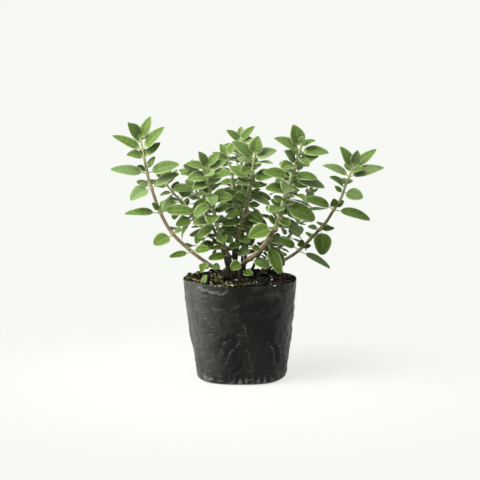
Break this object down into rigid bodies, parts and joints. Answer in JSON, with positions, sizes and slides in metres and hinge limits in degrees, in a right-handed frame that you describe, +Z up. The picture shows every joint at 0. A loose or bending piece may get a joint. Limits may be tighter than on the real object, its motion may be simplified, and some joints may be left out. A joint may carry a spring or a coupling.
{
  "type": "oregano plant in a nursery grow bag",
  "caption": "Bushy oregano plant with leafy stems fanning out of one crown, rooted in potting soil that fills a round black film grow bag with a flat base.",
  "frame": {"origin": "middle of the grow bag's flat base, on the surface that it stands on", "axes": "+Z up along the bag's axis, +X to the right and +Y away from the viewer when the plant's widest spread is seen from the front"},
  "size_m": [0.271, 0.1606, 0.262],
  "materials": {
    "film": "wrinkled satin black polythene film",
    "soil": "moist crumbly potting soil with bits of bark and perlite",
    "plant": "softly hairy green leaves on stems that turn brown towards the foot"
  },
  "bodies": {
    "root": {"grow_bag": "film", "potting_soil": "soil", "stem_left_outer": "plant", "stem_right_outer": "plant", "stem_left_front": "plant", "stem_right_front": "plant", "stem_middle": "plant", "stem_middle_back": "plant", "stem_left_of_middle": "plant", "stem_left_back": "plant", "stem_far_left": "plant", "stem_far_right": "plant", "stem_far_back": "plant", "stem_right_back": "plant"}
  },
  "joints": []
}
